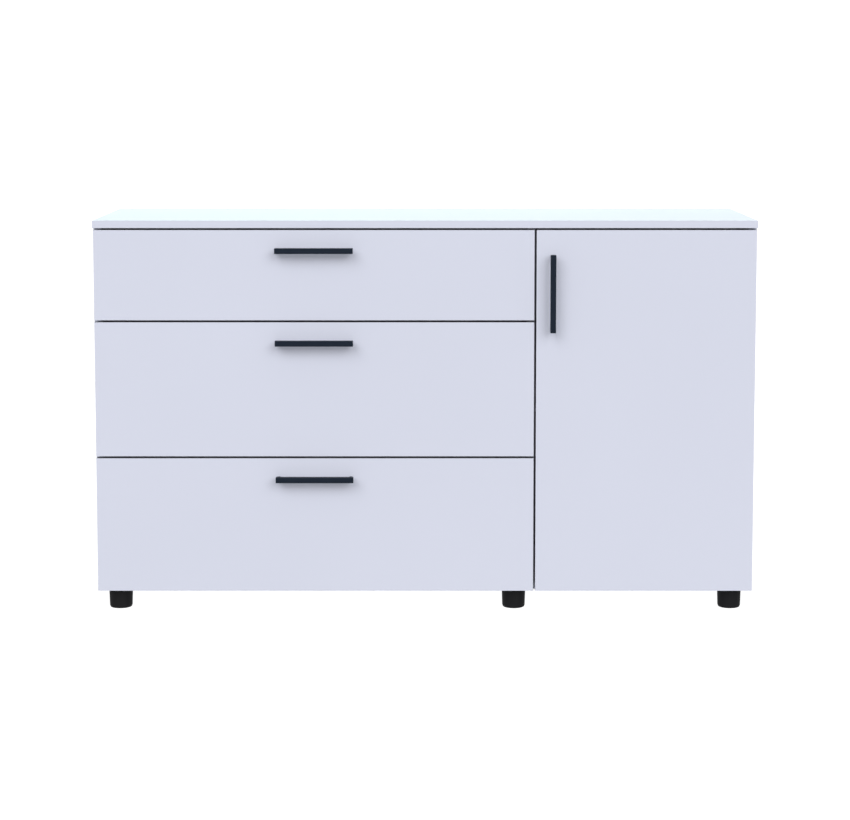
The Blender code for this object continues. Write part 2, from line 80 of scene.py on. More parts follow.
# Colours are linear red, green and blue. The two gap greys after the white are painted shade that
# darkens the gaps: the paler one on the door's free edge and the divider's front edge, which an open
# door shows in full, and the darker one on the other narrow faces that lie along a gap.
BOARD_WHITE = (0.737, 0.764, 0.880)
# Painted shade for the vertical gap, paler than the one below it.
PALE_GAP_SHADE = (0.440, 0.455, 0.515)
DEEP_GAP_SHADE = (0.240, 0.250, 0.285)
SEAM_GREY = (0.45, 0.46, 0.50)
CHIP_DARK = (0.210, 0.140, 0.080)
CHIP_LIGHT = (0.560, 0.430, 0.290)
HARDBOARD_DARK = (0.190, 0.120, 0.070)
HARDBOARD_LIGHT = (0.330, 0.225, 0.140)
PRINT_SHADE = (0.60, 0.61, 0.66)
COAT_DARK = (0.011, 0.018, 0.031)
COAT_LIGHT = (0.015, 0.024, 0.039)
PLASTIC_DARK = (0.007, 0.007, 0.008)
PLASTIC_SCUFFED = (0.020, 0.020, 0.021)
ZINC_COOL = (0.52, 0.54, 0.57)
ZINC_WARM = (0.66, 0.66, 0.65)
RUBBER_DARK = (0.030, 0.031, 0.034)
RUBBER_LIGHT = (0.055, 0.056, 0.060)
CAST_DARK = (0.34, 0.35, 0.37)
CAST_LIGHT = (0.50, 0.51, 0.52)

# Roughness of each finish, lowest and highest where it varies.
BOARD_ROUGHNESS = (0.34, 0.42)
COAT_ROUGHNESS = (0.44, 0.56)
PLASTIC_ROUGHNESS = (0.42, 0.54)
PLATED_ROUGHNESS = (0.24, 0.38)
RUBBER_ROUGHNESS = (0.60, 0.75)
CAST_ROUGHNESS = (0.38, 0.52)
PRINTED_ROUGHNESS = 0.48
BROWN_ROUGHNESS = 0.80
CHIP_ROUGHNESS = 0.85

# How much of its white a board keeps in its cloudy patches, how far the printed white turns to its
# shade in blotches, and what each noise adds to a mix of two.
BOARD_TONES = (0.985, 1.0)
FLAKE_SHARE = 0.6
GRAIN_SHARE = 0.4
FIBRE_SHARE = 0.7
BLOTCH_SHARE = 0.3
PRINT_BLOTCHES = (0.0, 0.05)

# How strongly the chips stand out, and the fibres on each face of the hardboard.
CHIP_RELIEF = 4.0
PRINTED_RELIEF = 0.15
BROWN_RELIEF = 1.0

# How far from an edge the hairline beside it starts and ends, and how strongly it shows.
SEAM_START = 0.7 * MM
SEAM_END = 1.0 * MM
SEAM_STRENGTH = 0.10

# How squarely a face has to look one way to count, without and with the rounded arrises round it.
FACE_REACH = 0.9
ARRIS_REACH = 0.3

# The values that a noise mostly has, and the narrower range where its two colours meet.
NOISE_RANGE = (0.3, 0.7)
PATCH_RANGE = (0.35, 0.65)

# How high up from the floor a foot is scuffed, and the stretches that brush steel along an axis.
SCUFF_TOP = 12 * MM
BRUSHED_ALONG_Y = (18.0, 1.0, 18.0)
BRUSHED_ALONG_Z = (18.0, 18.0, 1.0)


class Shader:
    """A material's node tree with short calls for the nodes that the finishes use."""

    def __init__(self, name):
        self.material = bpy.data.materials.new(name)
        self.material.use_nodes = True
        self.tree = self.material.node_tree
        self.surface = self.tree.nodes["Principled BSDF"]
        self.place = self.tree.nodes.new("ShaderNodeTexCoord")

    def link(self, source, target):
        self.tree.links.new(source, target)

    def put(self, value, socket):
        """Feed a socket from another node or set it to a constant."""
        if hasattr(value, "is_output"):
            self.link(value, socket)
        else:
            socket.default_value = value

    def maths(self, operation, first, second):
        """One operation on two values."""
        step = self.tree.nodes.new("ShaderNodeMath")
        step.operation = operation
        for value, socket in zip((first, second), step.inputs):
            self.put(value, socket)
        return step.outputs[0]

    def stretched(self, stretch):
        """The object's own space, scaled along X, Y and Z."""
        mapping = self.tree.nodes.new("ShaderNodeMapping")
        mapping.inputs["Scale"].default_value = stretch
        self.link(self.place.outputs["Object"], mapping.inputs["Vector"])
        return mapping.outputs[0]

    def noise(self, scale, detail, stretch=(1.0, 1.0, 1.0), roughness=0.5):
        texture = self.tree.nodes.new("ShaderNodeTexNoise")
        texture.inputs["Scale"].default_value = scale
        texture.inputs["Detail"].default_value = detail
        texture.inputs["Roughness"].default_value = roughness
        self.link(self.stretched(stretch), texture.inputs["Vector"])
        return texture.outputs["Fac"]

    def cells(self, scale, stretch):
        texture = self.tree.nodes.new("ShaderNodeTexVoronoi")
        texture.inputs["Scale"].default_value = scale
        self.link(self.stretched(stretch), texture.inputs["Vector"])
        return texture

    def span(self, value, low, high, out_low, out_high):
        """Map a value from one range to another, held at both ends."""
        step = self.tree.nodes.new("ShaderNodeMapRange")
        for given, socket in zip((value, low, high, out_low, out_high), step.inputs):
            self.put(given, socket)
        return step.outputs[0]

    def spread(self, noise, out_range):
        """Map what a noise mostly gives to a range."""
        return self.span(noise, *NOISE_RANGE, *out_range)

    def mix(self, factor, first, second, kind="MIX"):
        """Mix two colours."""
        step = self.tree.nodes.new("ShaderNodeMix")
        step.data_type = "RGBA"
        step.blend_type = kind
        self.put(factor, step.inputs["Factor"])
        for value, name in ((first, "A"), (second, "B")):
            socket = [item for item in step.inputs if item.name == name and item.type == "RGBA"][0]
            self.put((*value, 1.0) if isinstance(value, tuple) else value, socket)
        return [item for item in step.outputs if item.type == "RGBA"][0]

    def patches(self, noise, first, second):
        """Two colours in soft patches."""
        return self.mix(self.span(noise, *PATCH_RANGE, 0.0, 1.0), first, second)

    def grey(self, value):
        """One value in all three channels of a colour."""
        step = self.tree.nodes.new("ShaderNodeCombineColor")
        for socket in step.inputs:
            self.link(value, socket)
        return step.outputs[0]

    def parts(self, vector):
        """The three parts of a vector or a colour."""
        step = self.tree.nodes.new("ShaderNodeSeparateXYZ")
        self.link(vector, step.inputs[0])
        return step.outputs

    def bump(self, height, strength, distance):
        step = self.tree.nodes.new("ShaderNodeBump")
        step.inputs["Strength"].default_value = strength
        step.inputs["Distance"].default_value = distance
        self.link(height, step.inputs["Height"])
        self.link(step.outputs[0], self.surface.inputs["Normal"])

    def finish(self, colour, roughness, **constants):
        """Set the surface: its colour and roughness come from nodes, the rest are constants."""
        self.link(colour, self.surface.inputs["Base Color"])
        self.link(roughness, self.surface.inputs["Roughness"])
        for name, value in constants.items():
            self.surface.inputs[name.replace("_", " ")].default_value = value
        return self.material


def edge_seam(shader, name):
    """A hairline beside each edge of a board, where its edge banding meets the face."""
    low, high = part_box(name)
    place = shader.parts(shader.place.outputs["Object"])
    gaps = []
    for axis in range(3):
        from_low = shader.maths("SUBTRACT", place[axis], low[axis])
        from_high = shader.maths("SUBTRACT", high[axis], place[axis])
        gaps.append(shader.maths("MINIMUM", from_low, from_high))
    nearer = shader.maths("MINIMUM", gaps[0], gaps[1])
    farther = shader.maths("MAXIMUM", gaps[0], gaps[1])
    middle = shader.maths("MAXIMUM", nearer, shader.maths("MINIMUM", farther, gaps[2]))
    inside = shader.maths("GREATER_THAN", middle, SEAM_START)
    outside = shader.maths("LESS_THAN", middle, SEAM_END)
    return shader.maths("MULTIPLY", inside, outside)


def faces_towards(shader, directions, reach=FACE_REACH):
    """1 on the faces of a board that look one of these ways; a smaller reach takes in their arrises."""
    normal = shader.parts(shader.place.outputs["Normal"])
    total = 0.0
    for axis, sign in directions:
        facing_it = shader.maths("MULTIPLY", normal[axis], sign)
        total = shader.maths("MAXIMUM", total, shader.maths("GREATER_THAN", facing_it, reach))
    return total


def chipboard(shader):
    """The colour and the height of pressed wood chips."""
    flakes = shader.cells(scale=420.0, stretch=(1.0, 1.0, 1.7))
    grain = shader.noise(scale=900.0, detail=6.0)
    flake_shade = shader.maths("MULTIPLY", shader.parts(flakes.outputs["Color"])[0], FLAKE_SHARE)
    grain_shade = shader.maths("MULTIPLY", grain, GRAIN_SHARE)
    shade = shader.maths("ADD", flake_shade, grain_shade)
    return shader.mix(shade, CHIP_DARK, CHIP_LIGHT), flakes.outputs["Distance"]


def board_finish(name, raw_directions, pale_shade_directions, deep_shade_directions):
    """Satin white laminate, painted gap shade on some narrow faces, and raw chipboard where there is
    none.
    """
    shader = Shader(f"{name}_laminate")
    cloud = shader.noise(scale=2.2, detail=3.0)
    speck = shader.noise(scale=260.0, detail=2.0)
    tone = shader.grey(shader.spread(cloud, BOARD_TONES))
    shade = shader.mix(1.0, BOARD_WHITE, tone, "MULTIPLY")
    seam = shader.maths("MULTIPLY", edge_seam(shader, name), SEAM_STRENGTH)
    colour = shader.mix(seam, shade, SEAM_GREY)
    # Painted shade: the narrow faces along the gaps, and their arrises, are darkened so that the gaps
    # look deep.
    for directions, painted_shade in ((pale_shade_directions, PALE_GAP_SHADE), (deep_shade_directions, DEEP_GAP_SHADE)):
        if directions:
            colour = shader.mix(faces_towards(shader, directions, ARRIS_REACH), colour, painted_shade)
    height = shader.noise(scale=1500.0, detail=2.0)
    rough = shader.spread(speck, BOARD_ROUGHNESS)
    if raw_directions:
        raw = faces_towards(shader, raw_directions)
        chips, chip_height = chipboard(shader)
        colour = shader.mix(raw, colour, chips)
        rough = shader.maths("MAXIMUM", rough, shader.maths("MULTIPLY", raw, CHIP_ROUGHNESS))
        relief = shader.maths("MULTIPLY", shader.maths("MULTIPLY", raw, chip_height), CHIP_RELIEF)
        height = shader.maths("ADD", height, relief)
    shader.bump(height, strength=0.10, distance=0.05 * MM)
    return shader.finish(colour, rough, Specular_IOR_Level=0.42)


def hardboard_finish(name, raw_direction):
    """Thin fibreboard: printed white on its good face and raw brown on the other."""
    shader = Shader(f"{name}_fibreboard")
    fibre = shader.noise(scale=340.0, detail=6.0, roughness=0.65)
    blotch = shader.noise(scale=5.0, detail=3.0)
    raw = faces_towards(shader, (raw_direction,))
    fibre_shade = shader.maths("MULTIPLY", fibre, FIBRE_SHARE)
    blotch_shade = shader.maths("MULTIPLY", blotch, BLOTCH_SHARE)
    mixed = shader.maths("ADD", fibre_shade, blotch_shade)
    brown = shader.mix(shader.spread(mixed, (0.0, 1.0)), HARDBOARD_DARK, HARDBOARD_LIGHT)
    white = shader.mix(shader.spread(blotch, PRINT_BLOTCHES), BOARD_WHITE, PRINT_SHADE)
    relief = shader.span(raw, 0.0, 1.0, PRINTED_RELIEF, BROWN_RELIEF)
    shader.bump(shader.maths("MULTIPLY", fibre, relief), strength=0.35, distance=0.08 * MM)
    rough = shader.span(raw, 0.0, 1.0, PRINTED_ROUGHNESS, BROWN_ROUGHNESS)
    return shader.finish(shader.mix(raw, white, brown), rough, Specular_IOR_Level=0.35)


def powder_coat():
    """Fine matt black powder coat with a cool cast."""
    shader = Shader("handle_powder_coat")
    grain = shader.noise(scale=2600.0, detail=3.0)
    wear = shader.noise(scale=45.0, detail=4.0)
    worn = shader.span(wear, low=0.45, high=0.75, out_low=0.0, out_high=0.5)
    colour = shader.mix(worn, COAT_DARK, COAT_LIGHT)
    shader.bump(grain, strength=0.25, distance=0.03 * MM)
    return shader.finish(colour, shader.spread(grain, COAT_ROUGHNESS), Specular_IOR_Level=0.12)


def moulded_black():
    """Injection-moulded black plastic, slightly scuffed low down."""
    shader = Shader("foot_plastic")
    grain = shader.noise(scale=1800.0, detail=3.0)
    scuff = shader.noise(scale=120.0, detail=5.0, stretch=(1.0, 1.0, 0.25))
    height = shader.parts(shader.place.outputs["Object"])[2]
    low_down = shader.span(height, low=0.0, high=SCUFF_TOP, out_low=1.0, out_high=0.0)
    scratched = shader.span(scuff, low=0.5, high=0.75, out_low=0.0, out_high=0.6)
    marks = shader.maths("MULTIPLY", low_down, scratched)
    colour = shader.mix(marks, PLASTIC_DARK, PLASTIC_SCUFFED)
    shader.bump(grain, strength=0.2, distance=0.04 * MM)
    return shader.finish(colour, shader.spread(grain, PLASTIC_ROUGHNESS), Specular_IOR_Level=0.26)


def zinc_plate(name, brushing):
    """Zinc-plated pressed steel, brushed along the axis that the brushing leaves at 1."""
    shader = Shader(name)
    streaks = shader.noise(scale=60.0, detail=5.0, stretch=brushing, roughness=0.6)
    patch = shader.noise(scale=35.0, detail=3.0)
    colour = shader.patches(patch, ZINC_COOL, ZINC_WARM)
    shader.bump(streaks, strength=0.12, distance=0.02 * MM)
    return shader.finish(colour, shader.spread(streaks, PLATED_ROUGHNESS), Metallic=1.0)


def bumper_rubber():
    """Soft dark grey rubber, dull and faintly mottled."""
    shader = Shader("bumper_rubber")
    mottle = shader.noise(scale=600.0, detail=4.0)
    colour = shader.patches(mottle, RUBBER_DARK, RUBBER_LIGHT)
    shader.bump(mottle, strength=0.2, distance=0.03 * MM)
    return shader.finish(colour, shader.spread(mottle, RUBBER_ROUGHNESS), Specular_IOR_Level=0.30)


def cam_metal():
    """Die-cast zinc of the cam fittings, duller than plated steel."""
    shader = Shader("cam_zinc")
    grain = shader.noise(scale=900.0, detail=5.0)
    colour = shader.patches(grain, CAST_DARK, CAST_LIGHT)
    shader.bump(grain, strength=0.3, distance=0.03 * MM)
    return shader.finish(colour, shader.spread(grain, CAST_ROUGHNESS), Metallic=1.0)


# ---------------------------------------------------------------- carried-over nodes

BOARD_ARRIS = 0.5 * MM
FRONT_ARRIS = 0.6 * MM
HINGE_ARRIS = 0.3 * MM
ARRIS_SEGMENTS = 2
ARRIS_DEGREES = 40
WELD_DISTANCE = 0.01 * MM


def soften(piece, width):
    """Join a node's triangles and round its sharp edges a little."""
    weld = piece.modifiers.new("joined_faces", "WELD")
    weld.merge_threshold = WELD_DISTANCE
    bevel = piece.modifiers.new("edge_radius", "BEVEL")
    bevel.width = width
    bevel.segments = ARRIS_SEGMENTS
    bevel.limit_method = "ANGLE"
    bevel.angle_limit = math.radians(ARRIS_DEGREES)
    bevel.harden_normals = False


def dress(name, material):
    """Give a carried-over node its finish."""
    for slot in NODES[name].material_slots:
        slot.link = "OBJECT"
        slot.material = material


def is_front(name):
    """Whether a board is a drawer front or the door."""
    return name.endswith("_front") or name == "door_panel"


def pale_shade_edges(name):
    """The door's free edge and the divider's front edge, which an open door shows in full; they get the
    paler painted gap shade.
    """
    if name == "door_panel":
        return (TO_LEFT,)
    return (FRONT,) if name == "centre_divider" else ()


def deep_shade_edges(name):
    """The other narrow faces of a front that lie along a gap; they get the darker painted gap shade."""
    if name == "door_panel":
        return (OVER,)
    if name == "drawer_bottom_front":
        return (TO_RIGHT, OVER)
    return (TO_RIGHT, OVER, UNDER) if is_front(name) else ()


def raw_edges():
    """Every laminated board, with its narrow faces that are left raw."""
    edges = {
        "top_panel": (REAR,),
        "bottom_panel": (REAR,),
        "left_side_panel": (REAR, UNDER),
        "right_side_panel": (REAR, UNDER),
        "centre_divider": (REAR,),
        "shelf": (REAR,),
        "door_panel": (),
    }
    for drawer in DRAWERS:
        edges[f"{drawer}_front"] = ()
        edges[f"{drawer}_box_left"] = (UNDER, REAR)
        edges[f"{drawer}_box_right"] = (UNDER, REAR)
        edges[f"{drawer}_box_rear"] = (UNDER,)
    return edges


def dress_nodes():
    """Finish every node that keeps its own shape."""
    for name, directions in raw_edges().items():
        dress(name, board_finish(name, directions, pale_shade_edges(name), deep_shade_edges(name)))
        soften(NODES[name], FRONT_ARRIS if is_front(name) else BOARD_ARRIS)
    dress("back_board", hardboard_finish("back_board", REAR))
    for drawer in DRAWERS:
        bottom = f"{drawer}_box_bottom"
        dress(bottom, hardboard_finish(bottom, UNDER))
    coat = powder_coat()
    runner_steel = zinc_plate("runner_zinc", BRUSHED_ALONG_Y)
    hinge_steel = zinc_plate("hinge_zinc", BRUSHED_ALONG_Y)
    for name in NODES:
        if name.endswith("_handle"):
            dress(name, coat)
        if "_runner_" in name:
            dress(name, runner_steel)
        if name.startswith("hinge_"):
            dress(name, hinge_steel)
            soften(NODES[name], HINGE_ARRIS)


# ---------------------------------------------------------------- fittings

# Outlines of the small turned parts, as points of radius and height in millimetres.
PAN_HEAD = ((0, 0), (3.6, 0), (3.6, 0.35), (3.096, 1.1), (1.98, 1.5), (0, 1.6))
LOW_HEAD = ((0, 0), (3.3, 0), (3.1, 0.35), (2.2, 0.75), (0, 0.9))
CAM_FACE = ((0, 0), (7.5, 0), (7.5, 0.4), (7.0, 0.7), (4.6, 0.7), (4.3, 0.45), (0, 0.45))
SHELF_PIN = (
    (0, -8), (1.9, -8), (2.3, -7.5), (2.3, 0), (3.4, 0),
    (3.4, 0.8), (2.35, 0.8), (2.35, 6.2), (2.0, 6.6), (0, 6.6),
)
BUMPER = ((0, 0), (4.0, 0), (4.0, 0.5), (3.3, 1.2), (1.8, 1.55), (0, 1.65))
NAIL_HEAD = ((0, 0), (1.7, 0), (1.5, 0.3), (0, 0.45))
RIVET_HEAD = ((0, 0), (1.5, 0), (1.3, 0.2), (0, 0.3))

# Each head with a cross recess: its outline, then the cross's reach, half width and floor height,
# in millimetres. Each plain turned part: its outline and how many sides it has.
CROSS_HEADS = {
    "pan_screw": (PAN_HEAD, 1.9, 0.42, 0.7),
    "low_screw": (LOW_HEAD, 1.6, 0.36, 0.3),
    "cam": (CAM_FACE, 2.9, 0.75, 0.15),
}
TURNED_PARTS = {
    "pin": (SHELF_PIN, 24),
    "bumper": (BUMPER, 24),
    "nail": (NAIL_HEAD, 14),
    "rivet": (RIVET_HEAD, 16),
}
HEAD_SIDES = 28
FOOT_SIDES = 72
SHARP_DEGREES = 35

# A foot's outline in millimetres, from the floor up. The hollow under it has points of radius and
# height, the glide and the base have insets from their radius and heights, and the rim has insets
# from its radius and drops from the top.
FOOT_HOLLOW = ((0, 0.8), (11, 0.8), (12, 0))
FOOT_GLIDE = ((0.8, 0), (0, 0.8), (0, 2.8))
FOOT_BASE = ((0.5, 2.9), (0, 3.5))
FOOT_RIM = ((0.3, 4.6), (0.7, 4.2), (0.1, 3.6), (0, 3.2), (0, 0.4), (0.4, 0))
GLIDE_INSET = 2.5
BASE_INSET = 1.5

# How far a handle's legs are from its ends, a column of pins or screws from an edge, a cam fitting
# from the board that it pulls on, and the pins' middle from the shelf above.
LEG_FROM_END = 5.5 * MM
COLUMN_SETBACK = 37 * MM
CAM_SETBACK = 34 * MM
PIN_ROW_DROP = 2.5 * MM

# The hinges' screws from the middle or an edge of their part, and the bumpers behind the door from
# its lower edge and from its left and right.
CUP_SCREW_RISE = 24.5 * MM
PLATE_SCREW_RISE = 16.5 * MM
PLATE_SCREW_INSET = 2.0 * MM
ADJUSTER_SETBACKS = (24 * MM, 46 * MM)
DOOR_BUMPER_RISE = 8 * MM
DOOR_BUMPER_INSETS = (12 * MM, 50 * MM)

# Y of the carcass's cam fittings, and the heights of the back board's nails.
CAM_COLUMNS = (-110 * MM, 150 * MM)
FLOOR_CAM_COLUMNS = (-60 * MM, 90 * MM)
NAIL_START = 120 * MM
NAIL_PITCH = 80 * MM
NAIL_COUNT = 9

# Insets in a drawer: from the lower and upper edge, and for the bumpers from the left and right too.
BOX_CAM_INSETS = (30 * MM, 25 * MM)
BOX_SCREW_INSETS = (14 * MM, 16 * MM)
FRONT_BUMPER_INSETS = (24 * MM, 20 * MM)
FRONT_BUMPER_SIDE_INSETS = (6 * MM, 6.5 * MM)

# A runner's parts, across it from the face on the cabinet and along it from each end. Each row of
# balls has its place across, its rise from the middle and the radius of a ball.
CABINET_WEB = 1.2 * MM
DRAWER_WEB = 11.2 * MM
RUNNER_SCREW_INSET = 30 * MM
BALL_ROWS = (
    (6.2 * MM, 20.15 * MM, 1.05 * MM),
    (7.45 * MM, 16.4 * MM, 1.25 * MM),
)
BALL_INSET = 20 * MM
BALL_PITCH = 26 * MM
CAGE_INSET = 12 * MM
CAGE_HALF_WIDTH = 2.2 * MM
CAGE_HALF_THICKNESS = 0.25 * MM


def in_metres(points):
    """An outline that is given in millimetres."""
    return [(radius * MM, height * MM) for radius, height in points]


def lathe(profile, sides):
    """A solid turned about Z from points of radius and height, closed on the axis."""
    builder = bmesh.new()
    rings = []
    for radius, height in profile:
        count = sides if radius > 0 else 1
        ring = []
        for index in range(count):
            turn = 2 * math.pi * index / count
            ring.append(builder.verts.new((radius * math.cos(turn), radius * math.sin(turn), height)))
        rings.append(ring)
    for lower, upper in zip(rings, rings[1:]):
        for index in range(sides):
            following = index + 1
            corners = [
                lower[index % len(lower)], lower[following % len(lower)],
                upper[following % len(upper)], upper[index % len(upper)],
            ]
            builder.faces.new(list(dict.fromkeys(corners)))
    return builder


def finished_mesh(name, builder):
    """Close a builder into a mesh that is smooth except at its sharp edges."""
    bmesh.ops.recalc_face_normals(builder, faces=builder.faces)
    mesh = bpy.data.meshes.new(name)
    builder.to_mesh(mesh)
    builder.free()
    mesh.shade_smooth()
    mesh.set_sharp_from_angle(angle=math.radians(SHARP_DEGREES))
    return mesh


def add_block(builder, low, high):
    """A box between two corners."""
    low = Vector(low)
    high = Vector(high)
    matrix = Matrix.Translation((low + high) / 2) @ Matrix.Diagonal((*(high - low), 1.0))
    bmesh.ops.create_cube(builder, size=1.0, matrix=matrix)


def cross_cutter(reach, width, floor, top):
    """A cross that stands from a floor height to a top height."""
    cross = bmesh.new()
    outline = [
        (width, width), (width, reach), (-width, reach),
        (-width, width), (-reach, width), (-reach, -width),
        (-width, -width), (-width, -reach), (width, -reach),
        (width, -width), (reach, -width), (reach, width),
    ]
    face = cross.faces.new([cross.verts.new((x, y, floor)) for x, y in outline])
    raised = bmesh.ops.extrude_face_region(cross, geom=[face])["geom"]
    points = [item for item in raised if isinstance(item, bmesh.types.BMVert)]
    bmesh.ops.translate(cross, verts=points, vec=(0, 0, top - floor))
    return finished_mesh("cutter", cross)


def cross_recessed(name, profile, reach, width, floor):
    """A turned head with a cross cut into its top down to a floor height."""
    head = bpy.data.objects.new(name, finished_mesh(name, lathe(profile, HEAD_SIDES)))
    top = profile[-1][1] + MM
    cutter = bpy.data.objects.new("cutter", cross_cutter(reach, width, floor, top))
    for item in (head, cutter):
        bpy.context.scene.collection.objects.link(item)
    cut = head.modifiers.new("recess", "BOOLEAN")
    cut.operation = "DIFFERENCE"
    cut.object = cutter
    bpy.context.view_layer.update()
    mesh = bpy.data.meshes.new_from_object(head.evaluated_get(bpy.context.evaluated_depsgraph_get()))
    for item in (head, cutter):
        bpy.data.objects.remove(item, do_unlink=True)
    mesh.set_sharp_from_angle(angle=math.radians(SHARP_DEGREES))
    return mesh


def facing(place, direction):
    """A matrix that stands a template at a place with its +Z along a direction."""
    turn = Vector((0, 0, 1)).rotation_difference(Vector(direction)).to_matrix().to_4x4()
    return Matrix.Translation(Vector(place)) @ turn


def add_piece(name, builder, body, material):
    """A piece from a builder, which rides on a body."""
    mesh = finished_mesh(name, builder)
    piece = bpy.data.objects.new(name, mesh)
    bpy.context.scene.collection.objects.link(piece)
    mesh.materials.clear()
    mesh.materials.append(material)
    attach(piece, body)
    return piece


def scatter(name, template, spots, body, material):
    """Copies of one template, each at a place and direction, as one piece on a body."""
    builder = bmesh.new()
    for place, direction in spots:
        start = len(builder.verts)
        builder.from_mesh(template)
        builder.verts.ensure_lookup_table()
        bmesh.ops.transform(builder, matrix=facing(place, direction), verts=builder.verts[start:])
    add_piece(name, builder, body, material)


def build_templates():
    """One mesh of each small part that repeats."""
    made = {}
    for name, (outline, *recess) in CROSS_HEADS.items():
        made[name] = cross_recessed(name, in_metres(outline), *(size * MM for size in recess))
    for name, (outline, sides) in TURNED_PARTS.items():
        made[name] = finished_mesh(name, lathe(in_metres(outline), sides))
    return made


def build_feet():
    """Turned feet with a fine groove under the rim, a rounded arris and a glide."""
    plastic = moulded_black()
    for name in FEET:
        low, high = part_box(name)
        rim = (high.x - low.x) / 2 / MM
        top = (high.z - low.z) / MM
        outline = [
            *FOOT_HOLLOW,
            *((rim - GLIDE_INSET - inset, height) for inset, height in FOOT_GLIDE),
            *((rim - BASE_INSET - inset, height) for inset, height in FOOT_BASE),
            *((rim - inset, top - drop) for inset, drop in FOOT_RIM),
            (0, top),
        ]
        builder = lathe(in_metres(outline), FOOT_SIDES)
        middle = Vector(((low.x + high.x) / 2, (low.y + high.y) / 2, low.z))
        bmesh.ops.translate(builder, verts=builder.verts, vec=middle)
        foot = add_piece(f"{name}_turned", builder, "carcass", plastic)
        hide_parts(name)


def handle_screws(name, upright):
    """Where the two screws of a handle come through the rear of its front."""
    low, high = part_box(name)
    middle = (low + high) / 2
    if upright:
        rises = (low.z + LEG_FROM_END, high.z - LEG_FROM_END)
        return [((middle.x, FRONT_REAR_Y, z), BACK) for z in rises]
    places = (low.x + LEG_FROM_END, high.x - LEG_FROM_END)
    return [((x, FRONT_REAR_Y, middle.z), BACK) for x in places]


def build_door_fittings(made, steel, rubber):
    """Screws of the handle and of both hinges, the hinges' rivets and the door's bumpers."""
    door_spots = handle_screws("door_handle", True)
    plate_spots = []
    arm_spots = []
    for hinge in HINGES:
        low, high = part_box(f"{hinge}_cup")
        middle = (low + high) / 2
        for side in (-1, 1):
            door_spots.append(((middle.x, high.y, middle.z + side * CUP_SCREW_RISE), BACK))
        low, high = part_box(f"{hinge}_plate")
        x = high.x - PLATE_SCREW_INSET
        y = CARCASS_Y + COLUMN_SETBACK
        for side in (-1, 1):
            plate_spots.append(((x, y, (low.z + high.z) / 2 + side * PLATE_SCREW_RISE), LEFT))
        low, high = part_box(f"{hinge}_arm")
        for setback in ADJUSTER_SETBACKS:
            arm_spots.append(((low.x, CARCASS_Y + setback, (low.z + high.z) / 2), LEFT))
        low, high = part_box(f"{hinge}_link")
        joint = next(item for item in frame["joints"] if item["name"] == f"{hinge}_link_turn")
        axis = Vector(joint["pos_m"])
        rivets = [((axis.x, axis.y, high.z), UP), ((axis.x, axis.y, low.z), DOWN)]
        scatter(f"{hinge}_rivets", made["rivet"], rivets, f"{hinge}_link", steel)
    scatter("door_screws", made["low_screw"], door_spots, "door", steel)
    scatter("hinge_plate_screws", made["pan_screw"], plate_spots, "carcass", steel)
    scatter("hinge_adjusting_screws", made["low_screw"], arm_spots, "carcass", steel)
    low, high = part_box("door_panel")
    z = low.z + DOOR_BUMPER_RISE
    left_inset, right_inset = DOOR_BUMPER_INSETS
    bumpers = [((x, FRONT_REAR_Y, z), BACK) for x in (low.x + left_inset, high.x - right_inset)]
    scatter("door_bumpers", made["bumper"], bumpers, "door", rubber)


def build_carcass_fittings(made, steel, cap):
    """Shelf pins, cam fittings and the nails of the back board."""
    inner_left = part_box("left_side_panel")[1].x
    inner_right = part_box("right_side_panel")[0].x
    divider_low, divider_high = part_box("centre_divider")
    walls = ((inner_right, LEFT), (divider_high.x, RIGHT))
    columns = (CARCASS_Y + COLUMN_SETBACK, divider_high.y - COLUMN_SETBACK)
    pin_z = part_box("shelf")[0].z - PIN_ROW_DROP
    pins = [((x, y, pin_z), way) for x, way in walls for y in columns]
    scatter("shelf_pins", made["pin"], pins, "carcass", steel)
    cam_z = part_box("top_panel")[0].z - CAM_SETBACK
    faces = ((inner_left, RIGHT), (divider_low.x, LEFT), (divider_high.x, RIGHT), (inner_right, LEFT))
    cams = [((x, y, cam_z), way) for x, way in faces for y in CAM_COLUMNS]
    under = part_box("bottom_panel")[0].z
    for x in (inner_left + CAM_SETBACK, inner_right - CAM_SETBACK):
        cams += [((x, y, under), DOWN) for y in FLOOR_CAM_COLUMNS]
    scatter("cam_fittings", made["cam"], cams, "carcass", cap)
    back_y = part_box("back_board")[1].y
    divider_x = (divider_low.x + divider_high.x) / 2
    rises = [NAIL_START + NAIL_PITCH * row for row in range(NAIL_COUNT)]
    nails = [((divider_x, back_y, z), BACK) for z in rises]
    scatter("back_board_nails", made["nail"], nails, "carcass", steel)


